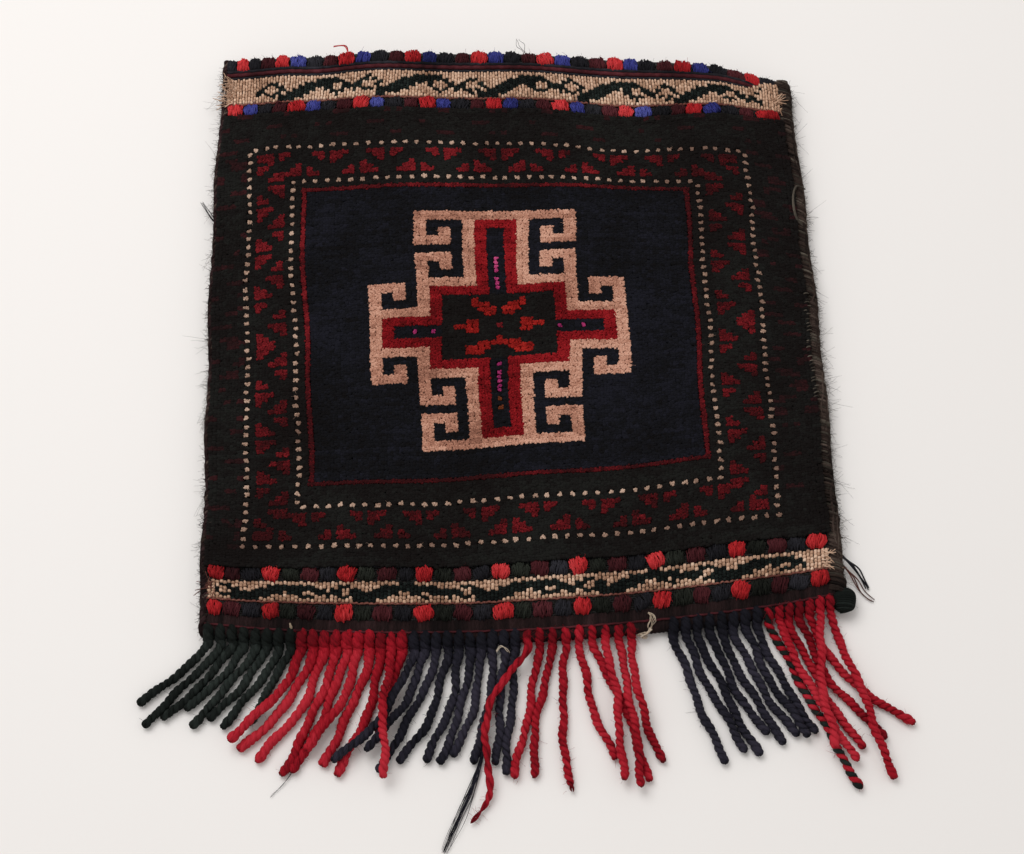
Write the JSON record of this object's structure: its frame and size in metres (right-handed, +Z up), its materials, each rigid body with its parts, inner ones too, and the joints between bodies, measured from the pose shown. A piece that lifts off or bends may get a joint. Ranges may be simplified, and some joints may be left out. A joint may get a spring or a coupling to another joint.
{
  "type": "hand-knotted wool bag",
  "caption": "Flat hand-knotted wool bag with a hooked medallion on its pile face, flat-woven bands, overcast sides, rows of wrapped knots and a twisted fringe along its base fold.",
  "frame": {"origin": "on the floor under the middle of the back, halfway from the base fold to the mouth", "axes": "+X to the right across the face, +Y from the base fold to the mouth, +Z up from the back to the pile face"},
  "size_m": [0.4642, 0.5347, 0.0269],
  "materials": {
    "pile_wool": "short knotted wool pile, dark navy ground with camel and red motifs",
    "goat_hair_binding": "brown-black goat hair, overcast",
    "knot_row_wool": "wrapped wool in red, blue, maroon and black",
    "fringe_red_wool": "twisted two-ply wool, madder red",
    "fringe_navy_wool": "twisted two-ply wool, blue-black",
    "fringe_black_wool": "twisted two-ply wool, green-black"
  },
  "bodies": {
    "root": {"bag_cloth": "pile_wool", "left_side_binding": "goat_hair_binding", "right_side_binding": "goat_hair_binding", "mouth_knot_row": "knot_row_wool", "upper_knot_row": "knot_row_wool", "lower_knot_row": "knot_row_wool", "base_knot_row": "knot_row_wool", "fringe_cord_01": "fringe_black_wool", "fringe_cord_02": "fringe_black_wool", "fringe_cord_03": "fringe_black_wool", "fringe_cord_04": "fringe_black_wool", "fringe_cord_05": "fringe_black_wool", "fringe_cord_06": "fringe_black_wool", "fringe_cord_07": "fringe_black_wool", "fringe_cord_08": "fringe_black_wool", "fringe_cord_09": "fringe_red_wool", "fringe_cord_10": "fringe_red_wool", "fringe_cord_11": "fringe_red_wool", "fringe_cord_12": "fringe_red_wool", "fringe_cord_13": "fringe_red_wool", "fringe_cord_14": "fringe_red_wool", "fringe_cord_15": "fringe_red_wool", "fringe_cord_16": "fringe_red_wool", "fringe_cord_17": "fringe_red_wool", "fringe_cord_18": "fringe_navy_wool", "fringe_cord_19": "fringe_navy_wool", "fringe_cord_20": "fringe_navy_wool", "fringe_cord_21": "fringe_navy_wool", "fringe_cord_22": "fringe_navy_wool", "fringe_cord_23": "fringe_navy_wool", "fringe_cord_24": "fringe_navy_wool", "fringe_cord_25": "fringe_navy_wool", "fringe_cord_26": "fringe_navy_wool", "fringe_cord_27": "fringe_navy_wool", "fringe_cord_28": "fringe_red_wool", "fringe_cord_29": "fringe_red_wool", "fringe_cord_30": "fringe_red_wool", "fringe_cord_31": "fringe_red_wool", "fringe_cord_32": "fringe_red_wool", "fringe_cord_33": "fringe_red_wool", "fringe_cord_34": "fringe_red_wool", "fringe_cord_35": "fringe_red_wool", "fringe_cord_36": "fringe_red_wool", "fringe_cord_37": "fringe_red_wool", "fringe_cord_38": "fringe_navy_wool", "fringe_cord_39": "fringe_navy_wool", "fringe_cord_40": "fringe_navy_wool", "fringe_cord_41": "fringe_navy_wool", "fringe_cord_42": "fringe_navy_wool", "fringe_cord_43": "fringe_navy_wool", "fringe_cord_44": "fringe_navy_wool", "fringe_cord_45": "fringe_navy_wool", "fringe_cord_46": "fringe_red_wool", "fringe_cord_47": "fringe_red_wool", "fringe_cord_48": "fringe_red_wool", "fringe_cord_49": "fringe_red_wool", "fringe_cord_50": "fringe_red_wool", "fringe_cord_51": "fringe_red_wool", "fringe_cord_52": "fringe_red_wool"}
  },
  "joints": []
}
